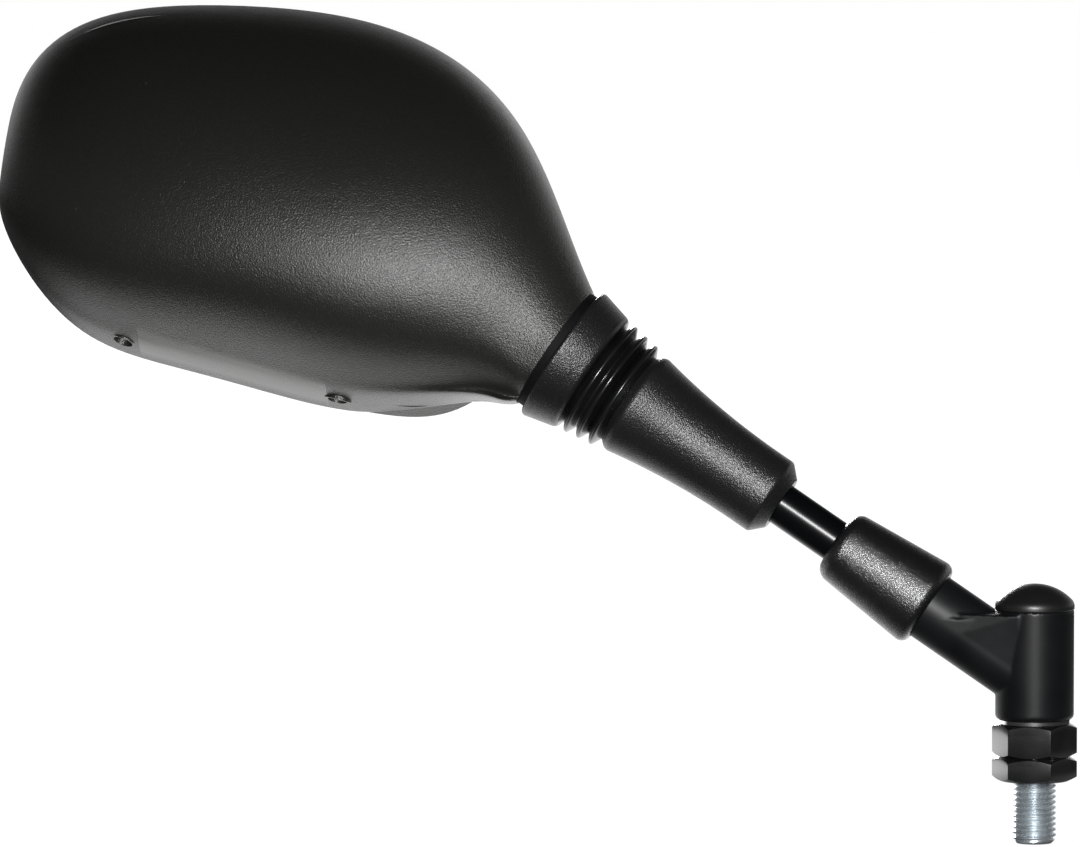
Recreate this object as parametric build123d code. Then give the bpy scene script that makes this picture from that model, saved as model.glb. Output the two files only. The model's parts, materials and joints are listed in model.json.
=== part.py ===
from build123d import *
import os
from math import atan2, copysign, cos, dist, pi, radians, sin, sqrt, tan

# A motorcycle mirror, in millimetres. The mounting stud stands on Z, and the origin is on its axis
# where it leaves the jam nut. The stem leans away in the XZ plane, the glass faces +Y and the
# moulded back of the head faces -Y.

# Fits
running_clearance = 0.05      # between faces that turn on each other, on the radius
thread_clearance = 0.02       # between a thread and its nut, both drawn plain
seat_clearance = 0.1          # between pieces that are pushed together
rubber_clearance = 0.3        # between the boot and what it covers

# Mounting stud and its nuts
stud_diameter = 10.0
thread_pitch = 1.25
stud_length = 14.4            # bare thread below the jam nut
stud_chamfer = 1.0
pitch_line_share = 0.325      # of the pitch, from a thread's crest in to its pitch line
nut_across_flats = 17.0
jam_nut_height = 5.5
pivot_nut_height = 7.7
nut_face_share = 0.95         # of the width across flats, where a nut's chamfer starts
nut_chamfer_angle = 30.0
nut_lead = 0.9                # chamfer at the mouth of a nut's thread
washer_diameter = 16.4
washer_thickness = 0.8

# Pivot inside the barrel
bolt_head_diameter = 13.2
bolt_head_height = 4.5
bolt_head_chamfer = 0.6
bolt_socket_width = 6.0
bolt_socket_depth = 2.8
spring_count = 2
spring_thickness = 0.8
spring_cone = 0.35            # height of each disc spring's cone
thrust_washer_thickness = 1.2

# Cast elbow and its cap
barrel_diameter = 18.0
barrel_height = 25.2
barrel_edge_radius = 1.2
pocket_diameter = 14.0
pocket_depth = 11.2
axis_height = 9.3             # where the stem's axis crosses the barrel's, above the barrel's foot
arm_diameter = 16.0
arm_length = 37.0             # from the barrel's axis
gusset_drop = 1.8             # from the barrel's top down to the gusset's top
cap_diameter = 18.2
cap_rim_height = 1.6
cap_dome_height = 4.3
cap_wall = 2.0
cap_plug_length = 2.6

# Stem, its lock nut and the rubber sleeve over the nut
stem_angle = 33.7             # above the horizontal
stem_diameter = 9.8
stem_thread_diameter = 8.0
stem_thread_depth = 20.0      # screwed into the arm
stem_thread_chamfer = 0.8
stem_relief = 1.0             # bare thread above the lock nut
stem_neck_diameter = 7.6
stem_neck_length = 8.0
stem_neck_slope = 2.0         # length of the cone above the neck for each millimetre of radius
ball_diameter = 15.0
ball_distance = 127.0         # from the barrel's axis to the ball's centre
lock_nut_across_flats = 13.0
lock_nut_height = 6.5
sleeve_overlap = 8.0          # how far the sleeve reaches down over the arm
sleeve_length = 26.3
sleeve_foot_diameter = 21.4
sleeve_tip_diameter = 16.8
sleeve_foot_round = 2.3
sleeve_tip_round = 3.3

# Ball seats and the ring that holds them in the housing
cup_thickness = 1.4
cup_split = 0.3               # gap between the two seats
cup_depth = 3.0               # from the ball's centre to the front seat's mouth
socket_wall = 1.6
ring_wall = 1.5
ring_depth = 3.3              # from the ball's centre to the ring's outer face
ring_reach = 3.0              # from the ball's centre back over the socket
ring_chamfer = 0.5

# Rubber boot: collar, folds and tapered sleeve
boot_groove = 1.3             # open groove between the housing's mouth and the collar
collar_length = 9.4
collar_mouth_diameter = 33.9
collar_fold_diameter = 29.6
collar_edge_radius = 0.8
fold_count = 3
fold_lead = 2.05              # from the collar's foot to the first crest
fold_pitch = 3.15
fold_diameter = 28.4          # crest of the fold beside the collar
fold_step = 0.95              # how much smaller the next crest is
fold_depth = 2.0
fold_wall = 1.3
fold_crest_width = 0.5
taper_lead = 1.9              # from the last valley to the taper's big end
taper_length = 40.6
taper_big_diameter = 25.4
taper_small_diameter = 18.9
taper_flare_length = 17.5     # from the big end to where its line meets the straight part
taper_flare_radius = 175.0
taper_end_diameter = 13.0
taper_wall = 2.2
taper_edge_radius = 1.1
boot_grip_length = 9.0
boot_grip_slope = 2.0

# Moulded housing. Its own frame has x and y along the rim and z into the back.
head_twist = 12.0             # how far the head is turned about the stem
rim_behind_axis = 19.0        # from the stem's axis back to the rim
head_length = 134.2           # from the ball's centre to the outer end
head_height = 83.7            # from the ball's centre to the top of the rim
head_depth = 44.0
mouth_diameter = 30.9
mouth_distance = 6.6          # from the ball's centre into the head
wall = 2.8
bulkhead = 3.4                # behind the ball's socket
side_draft = 14.0
back_squareness = 2.3         # exponent of the rounded sections: 2 is an ellipse
crown_drop = 0.24             # how far the back's crown lies below the middle, as a share of half the height
neck_roundness = 2.0
widest_depth = 3.0            # how far in front of the rim the sections are widest
form_front = 16.0             # how far the form runs on in front of the rim before it is cut there
outer_tip_front = 6.0         # the form starts in a small round end in front of the rim
outer_tip_radius = 2.0
neck_start = 2.5              # the sections turn round from this station
neck_span = 4.5
section_steps = 8
rim_points = 28
# Stations from the outer end towards the neck: top and bottom of the rim as shares of the head's
# length and height, then the depth as a share of the head's depth
stations = [
    ((-0.983, 0.774), (-0.976, 0.286), 0.36),
    ((-0.889, 0.938), (-0.889, 0.120), 0.63),
    ((-0.658, 1.005), (-0.717, 0.001), 0.90),
    ((-0.423, 0.977), (-0.508, -0.084), 1.00),
    ((-0.228, 0.856), (-0.336, -0.124), 0.98),
    ((-0.105, 0.653), (-0.216, -0.113), 0.90),
    ((-0.032, 0.411), (-0.149, -0.110), 0.82),
]
outer_end = (-1.003, 0.530)
# The rim closes behind the neck through these points, in the same shares
rim_end = [(-0.149, 0.742), (-0.075, 0.507), (-0.072, 0.254), (-0.117, 0.020)]
rim_foot = [(-0.203, -0.118), (-0.297, -0.145)]

# Glass, its carrier and the two screws that hold the carrier
rim_band_height = 8.0
rim_band_inset = 1.2
rim_band_draft = 20.0
rim_width = 3.0
glass_radius = 1200.0         # of the convex face
glass_crown = 0.3             # how far the middle of the glass lies inside the rim
glass_thickness = 2.0
pad_thickness = 0.8
pad_margin = 5.0
glass_middle = (-0.53, 0.44)  # in shares of the head's length and height
carrier_thickness = 2.2
carrier_gap = 0.3
carrier_lip = 1.4
carrier_lip_recess = 0.9
glass_gap = 0.25
carrier_depth = 7.5           # from the rim down to the ledge that the carrier sits on
ledge_overlap = 0.5           # how far the hollow behind the ledge runs into the carrier's recess
screw_shares = (0.709, 0.852)  # where the screws stand along the rim's outline
screw_depth = 6.8             # from the rim to the screws' axes
screw_diameter = 2.6
screw_length = 8.0
screw_head_diameter = 4.0
screw_head_height = 1.3
screw_head_chamfer = 0.4
screw_recess_diameter = 4.6
screw_recess = 4.0            # from the rim's outline in to the face under the head
screw_web = 1.0
pillar_diameter = 6.4
pillar_root = 1.0             # how far a pillar is rooted in the rim
boss_diameter = 5.4
boss_length = 7.0
pilot_runout = 1.0

# Places that follow from the sizes
stud_radius = stud_diameter / 2
engaged_radius = stud_radius - pitch_line_share * thread_pitch
pivot_nut_foot = jam_nut_height
washer_foot = pivot_nut_foot + pivot_nut_height
barrel_foot = washer_foot + washer_thickness
barrel_top = barrel_foot + barrel_height
pocket_floor = barrel_top - pocket_depth
spring_foot = pocket_floor + thrust_washer_thickness
spring_height = spring_thickness + spring_cone
bolt_head_foot = spring_foot + spring_count * spring_height
axis_level = barrel_foot + axis_height
lean = radians(stem_angle)
ball_radius = ball_diameter / 2
cup_inner_radius = ball_radius + running_clearance
cup_outer_radius = cup_inner_radius + cup_thickness
socket_radius = cup_outer_radius + running_clearance
socket_outer_radius = socket_radius + socket_wall
ring_inner_radius = socket_outer_radius + thread_clearance
ring_outer_radius = ring_inner_radius + ring_wall
mouth_radius = mouth_diameter / 2
boss_foot = screw_recess + screw_web + seat_clearance
glass_back = glass_crown + glass_thickness
pad_front = glass_back + seat_clearance
pad_back = pad_front + pad_thickness
carrier_front = pad_back + seat_clearance

# Frames: the stem's, with z along it from the barrel, and the head's, on the rim with z into the back
along_stem = Vector(-cos(lean), 0, sin(lean))
across_stem = Vector(sin(lean), 0, cos(lean))
stem_frame = Plane(origin=(0, 0, axis_level), x_dir=across_stem, z_dir=along_stem).location
ball_centre = Vector(0, 0, axis_level) + along_stem * ball_distance
twist_axis = Axis((0, 0, 0), along_stem)
head_right = Vector(1, 0, 0).rotate(twist_axis, head_twist)
head_back = Vector(0, -1, 0).rotate(twist_axis, head_twist)
head_frame = Plane(ball_centre - head_back * rim_behind_axis, x_dir=head_right, z_dir=head_back).location
socket_frame = Plane((0, 0, rim_behind_axis), x_dir=(sin(lean), cos(lean), 0),
                     z_dir=(-cos(lean), sin(lean), 0)).location


def turned(corners):
    # a closed outline turned about Z: each corner has a radius, a height and, where it is rounded, a rounding
    points = [corner[:2] for corner in corners]
    rounding = [corner[2] if len(corner) > 2 else 0.0 for corner in corners]
    outline = FilletPolyline(*points, radius=rounding, close=True)
    return Rot(X=90) * revolve(Face(Wire(outline.edges())), Axis.Y)


def tube(outer, inner, foot, top):
    # a plain ring between two heights
    return turned([(inner, foot), (outer, foot), (outer, top), (inner, top)])


def hex_nut(across_flats, height, bore_radius):
    # a hexagon with both faces chamfered, corners on the X axis
    corner = across_flats / sqrt(3)
    face = nut_face_share * across_flats / 2
    drop = (corner - face) * tan(radians(nut_chamfer_angle))
    prism = extrude(RegularPolygon(corner, 6), height)
    crown = turned([(0, 0), (face, 0), (corner, drop), (corner, height - drop), (face, height), (0, height)])
    mouth = bore_radius + nut_lead
    bore = turned([(0, 0), (mouth, 0), (bore_radius, nut_lead), (bore_radius, height - nut_lead),
                   (mouth, height), (0, height)])
    return (prism & crown) - bore


def half_space(height):
    # everything above a height, wide enough for the whole mirror
    reach = 4 * (head_length + ball_distance)
    return Pos(0, 0, height + reach / 2) * Box(reach, reach, reach)


# Mounting stud: a bolt whose head sits in the barrel on disc springs
def mounting_stud():
    head = bolt_head_diameter / 2
    head_top = bolt_head_foot + bolt_head_height
    profile = [
        (0, -stud_length),
        (stud_radius - stud_chamfer, -stud_length),
        (stud_radius, stud_chamfer - stud_length),
        (stud_radius, 0),
        (engaged_radius, 0),
        (engaged_radius, washer_foot),
        (stud_radius, washer_foot),
        (stud_radius, bolt_head_foot),
        (head, bolt_head_foot),
        (head, head_top - bolt_head_chamfer),
        (head - bolt_head_chamfer, head_top),
        (0, head_top),
    ]
    socket = extrude(RegularPolygon(bolt_socket_width / sqrt(3), 6), bolt_socket_depth)
    return turned(profile) - Pos(0, 0, head_top - bolt_socket_depth) * socket


def stud_nut(foot, height):
    return Pos(0, 0, foot) * hex_nut(nut_across_flats, height, engaged_radius + thread_clearance)


def plain_washer():
    return tube(washer_diameter / 2, stud_radius + seat_clearance, washer_foot, barrel_foot)


def thrust_washer():
    return tube(bolt_head_diameter / 2, stud_radius + seat_clearance, pocket_floor, spring_foot)


def disc_springs():
    # coned discs stacked edge to edge, each turned over on the last
    inner = stud_radius + seat_clearance
    outer = bolt_head_diameter / 2
    discs = []
    for turn in range(spring_count):
        foot = spring_foot + turn * spring_height
        low_in, low_out = (foot, foot + spring_cone) if turn % 2 else (foot + spring_cone, foot)
        corners = [(inner, low_in), (outer, low_out), (outer, low_out + spring_thickness),
                   (inner, low_in + spring_thickness)]
        discs.append(turned(corners))
    return Compound(children=discs)


# Cast elbow: barrel, arm and the gusset between them
def elbow():
    arm_radius = arm_diameter / 2
    barrel = tube(barrel_diameter / 2, 0, barrel_foot, barrel_top)
    arm = stem_frame * tube(arm_radius, 0, 0, arm_length)
    gusset_top = barrel_top - gusset_drop
    gusset_reach = (gusset_top - axis_level) / tan(lean)
    corners = [(0, axis_level), (0, gusset_top), (-gusset_reach, gusset_top)]
    gusset = extrude(Plane.XZ * make_face(Polyline(*corners, close=True)), arm_radius, both=True)
    cap_seat = tube(cap_diameter / 2 + seat_clearance, 0, barrel_top, barrel_top + arm_diameter)
    body = barrel + arm + gusset - cap_seat
    foot_edge = body.edges().filter_by(GeomType.CIRCLE).sort_by(Axis.Z)[0]
    body = fillet(foot_edge, barrel_edge_radius)
    bore = tube(stud_radius + running_clearance, 0, barrel_foot, barrel_top)
    pocket = tube(pocket_diameter / 2, 0, pocket_floor, barrel_top)
    thread_radius = stem_thread_diameter / 2 + thread_clearance
    thread_hole = stem_frame * tube(thread_radius, 0, arm_length - stem_thread_depth, arm_length)
    return body - bore - pocket - thread_hole


def dome_cap():
    # a moulded plug with a domed head
    rim = cap_diameter / 2
    plug = pocket_diameter / 2 - seat_clearance
    top = barrel_top + cap_rim_height + cap_dome_height
    dome_radius = (rim ** 2 + cap_dome_height ** 2) / (2 * cap_dome_height)
    ball = Pos(0, 0, top - dome_radius) * Sphere(dome_radius)
    dome = ball & half_space(barrel_top + cap_rim_height)
    rim_ring = tube(rim, 0, barrel_top, barrel_top + cap_rim_height)
    spigot = tube(plug, 0, barrel_top - cap_plug_length, barrel_top)
    hollow = tube(plug - cap_wall, 0, barrel_top - cap_plug_length, barrel_top + cap_rim_height)
    return dome + rim_ring + spigot - hollow


# Stem with its ball, the lock nut and the sleeve
def stem():
    foot = arm_length - stem_thread_depth
    thread = stem_thread_diameter / 2
    rod = stem_diameter / 2
    neck = stem_neck_diameter / 2
    shoulder = arm_length + lock_nut_height + stem_relief
    neck_foot = ball_distance - ball_radius - stem_neck_length
    profile = [
        (0, foot),
        (thread - stem_thread_chamfer, foot),
        (thread, foot + stem_thread_chamfer),
        (thread, shoulder),
        (rod, shoulder + rod - thread),
        (rod, neck_foot),
        (neck, neck_foot + stem_neck_slope * (rod - neck)),
        (neck, ball_distance),
        (0, ball_distance),
    ]
    return stem_frame * (turned(profile) + Pos(0, 0, ball_distance) * Sphere(ball_radius))


def stem_lock_nut():
    nut = hex_nut(lock_nut_across_flats, lock_nut_height, stem_thread_diameter / 2 + thread_clearance)
    return stem_frame * (Pos(0, 0, arm_length) * nut)


def lock_nut_sleeve():
    foot = arm_length - sleeve_overlap
    tip = foot + sleeve_length
    over_arm = arm_diameter / 2 + seat_clearance
    over_nut = lock_nut_across_flats / sqrt(3) + seat_clearance
    over_stem = stem_diameter / 2 + seat_clearance
    nut_top = arm_length + lock_nut_height
    profile = [
        (over_arm, foot),
        (sleeve_foot_diameter / 2, foot, sleeve_foot_round),
        (sleeve_tip_diameter / 2, tip, sleeve_tip_round),
        (over_stem, tip),
        (over_stem, nut_top + over_nut - over_stem),
        (over_nut, nut_top),
        (over_nut, arm_length),
        (over_arm, arm_length),
    ]
    return stem_frame * turned(profile)


# Rubber boot: a collar round the socket, folds over the ball joint and a sleeve along the stem
def boot():
    mouth = ball_distance + mouth_distance - boot_groove
    collar_foot = mouth - collar_length
    inside = ring_outer_radius + rubber_clearance
    grip = stem_diameter / 2 + seat_clearance
    first_crest = collar_foot - fold_lead
    crests = []
    valleys = []
    for fold in range(fold_count + 1):
        crests.append((fold_diameter / 2 - fold * fold_step / 2, first_crest - fold * fold_pitch))
        before = fold - 0.5
        depth = fold_depth + before * fold_step / 2
        valleys.append((fold_diameter / 2 - depth, first_crest - before * fold_pitch))
    crests.pop()
    taper_top = valleys[-1][1] - taper_lead
    taper_foot = taper_top - taper_length
    small = taper_small_diameter / 2
    end_rise = small - taper_end_diameter / 2
    flare_turn = atan2(taper_big_diameter / 2 - small, taper_flare_length)
    flare_room = taper_flare_length - taper_edge_radius
    flare_radius = min(taper_flare_radius, flare_room / tan(flare_turn / 2))
    outside = [
        (inside, mouth),
        (collar_mouth_diameter / 2, mouth, collar_edge_radius),
        (collar_fold_diameter / 2, collar_foot, collar_edge_radius),
    ]
    for valley, (radius, place) in zip(valleys, crests):
        outside += [valley, (radius, place + fold_crest_width / 2), (radius, place - fold_crest_width / 2)]
    outside += [
        valleys[-1],
        (taper_big_diameter / 2, taper_top, taper_edge_radius),
        (small, taper_top - taper_flare_length, flare_radius),
        (small, taper_foot + end_rise, taper_edge_radius),
        (taper_end_diameter / 2, taper_foot),
    ]
    lining = [
        (grip, taper_foot),
        (grip, taper_foot + boot_grip_length),
        (small - taper_wall, taper_foot + boot_grip_length + boot_grip_slope),
        (valleys[-1][0] - fold_wall, taper_top),
    ]
    for valley, crest in zip(valleys[:0:-1], crests[::-1]):
        lining += [(radius - fold_wall, place) for radius, place in (valley, crest)]
    throat = valleys[0][0] - fold_wall
    ring_face = ball_distance - ring_depth - rubber_clearance
    lining += [(throat, ring_face - (inside - throat)), (inside, ring_face)]
    return stem_frame * turned(outside + lining)


# Ball seats
def seat_shell():
    return Sphere(cup_outer_radius) - Sphere(cup_inner_radius)


def front_ball_cup():
    slab = half_space(-cup_depth) - half_space(-cup_split / 2)
    return head_frame * socket_frame * (seat_shell() & slab)


def rear_ball_cup():
    return head_frame * socket_frame * (seat_shell() & half_space(cup_split / 2))


def socket_ring():
    # screwed over the end of the housing's socket, with a round seat for the front cup
    blank = turned([
        (0, -ring_depth),
        (ring_outer_radius - ring_chamfer, -ring_depth),
        (ring_outer_radius, ring_chamfer - ring_depth),
        (ring_outer_radius, ring_reach),
        (0, ring_reach),
    ])
    thread_hole = tube(ring_inner_radius, 0, ring_wall - ring_depth, ring_reach)
    return head_frame * socket_frame * (blank - Sphere(socket_radius) - thread_hole)


# Moulded housing
def eased(share):
    held = max(0.0, min(1.0, share))
    return held * held * (3 - 2 * held)


def in_head(share):
    return (share[0] * head_length, share[1] * head_height)


def section(top, low, crown, middle, front, power, draft, inset, drop=0.0):
    # one closed section of the housing: a rounded back over walls that lean in, then a rounded front
    half = dist(top, low) / 2
    centre = ((top[0] + low[0]) / 2, (top[1] + low[1]) / 2)
    rise = ((top[0] - low[0]) / (2 * half), (top[1] - low[1]) / (2 * half))
    lean_in = tan(radians(draft))
    back_line = []
    front_line = []
    for step in range(section_steps + 1):
        turn = pi * step / section_steps
        bulge = sin(turn) ** (2 / power) if 0 < step < section_steps else 0.0
        across = copysign(abs(cos(turn)) ** (2 / power), cos(turn))
        for line, depth, side, sag in ((back_line, middle + (crown - middle) * bulge, across, drop),
                                       (front_line, middle - (middle - front) * bulge, -across, 0.0)):
            place = side * (half - inset - depth * lean_in) - sag * half * (1 - side ** 2)
            line.append((centre[0] + place * rise[0], centre[1] + place * rise[1], depth))
    up_wall = (-lean_in * rise[0], -lean_in * rise[1], 1)
    down_wall = (-lean_in * rise[0], -lean_in * rise[1], -1)
    back = Spline(*back_line, tangents=(up_wall, down_wall))
    return Face(Wire([back, Spline(*front_line, tangents=(down_wall, up_wall))]))


def head_form(inset):
    # the housing's outside, or a parallel form inside it, from the outer end to the round mouth
    tip = in_head(outer_end)
    tip_x = tip[0] + inset
    sections = [section((tip_x, tip[1] + outer_tip_radius), (tip_x, tip[1] - outer_tip_radius),
                        outer_tip_radius - outer_tip_front, -outer_tip_front,
                        -outer_tip_radius - outer_tip_front, neck_roundness, 0.0, 0.0)]
    for place, (top, low, depth) in enumerate(stations):
        neck = eased((place - neck_start) / neck_span)
        middle = neck * rim_behind_axis - (1 - neck) * widest_depth
        front = neck * (rim_behind_axis - mouth_radius) - (1 - neck) * form_front
        power = neck * neck_roundness + (1 - neck) * back_squareness
        sections.append(section(in_head(top), in_head(low), depth * head_depth - inset, middle, front + inset,
                                power, side_draft * (1 - neck), inset, crown_drop * (1 - neck)))
    centre = (-mouth_distance * cos(lean), mouth_distance * sin(lean))
    reach = (mouth_radius * sin(lean), mouth_radius * cos(lean))
    top = (centre[0] + reach[0], centre[1] + reach[1])
    low = (centre[0] - reach[0], centre[1] - reach[1])
    sections.append(section(top, low, rim_behind_axis + mouth_radius - inset, rim_behind_axis,
                            rim_behind_axis - mouth_radius + inset, neck_roundness, 0.0, inset))
    return loft(sections)


def rim_outline(inset):
    # the closed line of the rim, moved inwards by the inset
    tops = [top for top, low, depth in stations[:5]]
    lows = [low for top, low, depth in stations[:4]]
    shares = [outer_end] + tops + rim_end + rim_foot + lows[::-1]
    line = Spline(*[in_head(share) for share in shares], periodic=True)
    if inset == 0:
        return Wire(line)
    moved = []
    for step in range(rim_points):
        share = step / rim_points
        along = line % share
        moved.append(line @ share + Vector(along.Y, -along.X) * inset)
    return Wire(Spline(*moved, periodic=True))


def rim_prism(inset, foot, top):
    return Pos(0, 0, foot) * extrude(Face(rim_outline(inset)), top - foot, dir=(0, 0, 1))


def screw_frames():
    # on the rim's lower edge, with z pointing in along the screw
    line = rim_outline(0)
    frames = []
    for share in screw_shares:
        place = line @ share
        along = line % share
        inward = Vector(along.Y, -along.X)
        frames.append(Plane((place.X, place.Y, screw_depth), x_dir=along, z_dir=inward).location)
    return frames


def housing():
    # a thin moulded shell with a rim band, a ball socket in its neck and two screw pillars
    bulkhead_face = socket_radius + bulkhead
    band_top = rim_band_inset + rim_band_height * tan(radians(rim_band_draft))
    band = loft([Face(rim_outline(rim_band_inset)), Pos(0, 0, rim_band_height) * Face(rim_outline(band_top))])
    hollow = head_form(wall) & half_space(carrier_depth - ledge_overlap)
    hollow = hollow & (socket_frame * half_space(bulkhead_face))
    body = (head_form(0) & half_space(0)) + band - hollow
    body -= rim_prism(rim_width, 0, carrier_depth)
    socket_end = ring_wall - ring_depth
    ball_room = Sphere(socket_radius) + tube(socket_radius, 0, socket_end, 0)
    body += socket_frame * tube(socket_outer_radius, 0, socket_end, bulkhead_face)
    body -= socket_frame * ball_room
    glass_room = glass_layer(0, glass_back + glass_gap)
    for frame in screw_frames():
        boss_room = tube(boss_diameter / 2 + carrier_gap, 0, boss_foot - carrier_gap, boss_foot + boss_length)
        pillar = tube(pillar_diameter / 2, 0, rim_width - pillar_root, screw_recess + screw_web)
        recess = tube(screw_recess_diameter / 2, 0, -rim_width, screw_recess)
        hole = tube(screw_diameter / 2 + seat_clearance, 0, 0, screw_recess + screw_web)
        body = body - frame * boss_room + (frame * pillar - glass_room) - frame * recess - frame * hole
    return body


# Convex glass on a foam pad, in a carrier that two screws hold
def glass_layer(near, far):
    # the space between two depths behind the rim, both following the curve of the glass
    middle = in_head(glass_middle)
    centre = Pos(middle[0], middle[1], glass_radius) * Rot(X=90)
    return centre * Sphere(glass_radius - near) - centre * Sphere(glass_radius - far)


def mirror_glass():
    edge = rim_width + carrier_gap + carrier_lip + glass_gap
    return rim_prism(edge, 0, carrier_depth) & glass_layer(glass_crown, glass_back)


def foam_pad():
    edge = rim_width + carrier_gap + carrier_lip + pad_margin
    return rim_prism(edge, 0, carrier_depth) & glass_layer(pad_front, pad_back)


def glass_carrier():
    edge = rim_width + carrier_gap
    tray = glass_layer(carrier_front, carrier_front + carrier_thickness)
    plate = rim_prism(edge, 0, 2 * carrier_depth) & tray
    lip = rim_prism(edge, carrier_lip_recess, carrier_depth) - rim_prism(edge + carrier_lip, 0, carrier_depth)
    body = plate + lip
    pad_room = glass_layer(0, carrier_front)
    for frame in screw_frames():
        notch = tube(pillar_diameter / 2 + seat_clearance, 0, 0, boss_foot)
        boss = tube(boss_diameter / 2, 0, boss_foot, boss_foot + boss_length)
        pilot = tube(screw_diameter / 2 + thread_clearance, 0, 0, screw_recess + screw_length + pilot_runout)
        body = body - frame * notch + (frame * boss - pad_room) - frame * pilot
    return body


def carrier_screws():
    head = screw_head_diameter / 2
    shank = screw_diameter / 2
    top = screw_recess - screw_head_height
    profile = [
        (0, top),
        (head - screw_head_chamfer, top),
        (head, top + screw_head_chamfer),
        (head, screw_recess),
        (shank, screw_recess),
        (shank, screw_recess + screw_length - shank),
        (0, screw_recess + screw_length),
    ]
    return Compound(children=[frame * turned(profile) for frame in screw_frames()])


nodes = {
    "mounting_stud": mounting_stud(),
    "jam_nut": stud_nut(0, jam_nut_height),
    "pivot_nut": stud_nut(pivot_nut_foot, pivot_nut_height),
    "plain_washer": plain_washer(),
    "thrust_washer": thrust_washer(),
    "disc_springs": disc_springs(),
    "elbow": elbow(),
    "dome_cap": dome_cap(),
    "stem": stem(),
    "stem_lock_nut": stem_lock_nut(),
    "lock_nut_sleeve": lock_nut_sleeve(),
    "boot": boot(),
    "front_ball_cup": front_ball_cup(),
    "rear_ball_cup": rear_ball_cup(),
    "socket_ring": socket_ring(),
    "housing": head_frame * housing(),
    "glass_carrier": head_frame * glass_carrier(),
    "foam_pad": head_frame * foam_pad(),
    "mirror_glass": head_frame * mirror_glass(),
    "carrier_screws": head_frame * carrier_screws(),
}

os.makedirs("parts", exist_ok=True)
for name, solid in nodes.items():
    export_step(solid, f"parts/{name}.step")
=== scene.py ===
import bpy
import bmesh
import json
import math
from mathutils import Matrix, Vector


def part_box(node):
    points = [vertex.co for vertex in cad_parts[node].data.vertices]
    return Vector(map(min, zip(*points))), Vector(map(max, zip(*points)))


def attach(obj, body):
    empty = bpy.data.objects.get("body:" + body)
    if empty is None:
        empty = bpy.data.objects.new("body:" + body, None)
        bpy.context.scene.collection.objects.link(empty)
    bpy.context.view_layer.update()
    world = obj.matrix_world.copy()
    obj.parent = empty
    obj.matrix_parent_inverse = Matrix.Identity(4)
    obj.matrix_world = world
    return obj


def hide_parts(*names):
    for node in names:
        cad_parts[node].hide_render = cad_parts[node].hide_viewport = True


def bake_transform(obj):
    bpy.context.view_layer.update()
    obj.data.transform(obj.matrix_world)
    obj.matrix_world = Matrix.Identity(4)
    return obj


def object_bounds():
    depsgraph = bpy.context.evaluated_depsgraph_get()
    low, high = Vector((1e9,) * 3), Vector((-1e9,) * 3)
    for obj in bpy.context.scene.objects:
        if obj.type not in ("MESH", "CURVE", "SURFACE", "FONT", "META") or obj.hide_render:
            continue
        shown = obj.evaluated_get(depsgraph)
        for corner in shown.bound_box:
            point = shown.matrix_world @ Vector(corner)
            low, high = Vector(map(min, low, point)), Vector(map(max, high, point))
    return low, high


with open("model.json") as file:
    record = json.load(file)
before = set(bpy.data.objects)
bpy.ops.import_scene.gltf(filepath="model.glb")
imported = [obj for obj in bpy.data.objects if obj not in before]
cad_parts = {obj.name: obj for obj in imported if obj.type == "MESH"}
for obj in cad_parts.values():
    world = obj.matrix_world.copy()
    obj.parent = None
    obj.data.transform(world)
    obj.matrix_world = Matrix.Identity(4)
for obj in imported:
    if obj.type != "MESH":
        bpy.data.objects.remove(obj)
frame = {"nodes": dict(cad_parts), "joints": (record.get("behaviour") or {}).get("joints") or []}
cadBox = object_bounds()
nodes = frame["nodes"]
joints = {joint["name"]: joint for joint in frame["joints"]}
mm = 0.001
print("frame loaded:", len(nodes), "nodes")


def placeFrom(origin, xWay, yWay, zWay):
    return Matrix.Translation(origin) @ Matrix((xWay, yWay, zWay)).transposed().to_4x4()


# The stem's own frame: z runs along the stem from the barrel's axis, x lies across it in the upright plane
stemFoot = Vector(joints["arm_swivel"]["pos_m"])
ballCentre = Vector(joints["head_tilt"]["pos_m"])
stemAxis = (ballCentre - stemFoot).normalized()
ballDistance = (ballCentre - stemFoot).length / mm
stemAcross = Vector((0, 1, 0)).cross(stemAxis).normalized()
stemPlace = placeFrom(stemFoot, stemAcross, stemAxis.cross(stemAcross), stemAxis)

# The head's own frame: x and y along the rim, z into the back
head = {"twist": 12.0, "rimBehindAxis": 19.0, "mouth": 6.6}
headTurn = Matrix.Rotation(math.radians(head["twist"]), 3, stemAxis)
headRight = headTurn @ Vector((1, 0, 0))
headBack = headTurn @ Vector((0, -1, 0))
rimMiddle = ballCentre - headBack * head["rimBehindAxis"] * mm
headPlace = placeFrom(rimMiddle, headRight, headBack.cross(headRight), headBack)


# Node helpers

def addNode(tree, kind, **settings):
    node = tree.nodes.new(kind)
    for name, value in settings.items():
        setattr(node, name, value)
    return node


def setInput(tree, socket, value):
    # links a node's output, or sets a plain value
    if isinstance(value, bpy.types.NodeSocket):
        tree.links.new(value, socket)
    else:
        socket.default_value = value


def mathNode(tree, operation, *values):
    node = addNode(tree, "ShaderNodeMath", operation=operation)
    for socket, value in zip(node.inputs, values):
        setInput(tree, socket, value)
    return node.outputs[0]


def rangeNode(tree, value, low, high, toLow=0.0, toHigh=1.0):
    node = addNode(tree, "ShaderNodeMapRange", interpolation_type="SMOOTHSTEP")
    tree.links.new(value, node.inputs["Value"])
    for name, number in zip(("From Min", "From Max", "To Min", "To Max"), (low, high, toLow, toHigh)):
        node.inputs[name].default_value = number
    return node.outputs["Result"]


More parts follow.
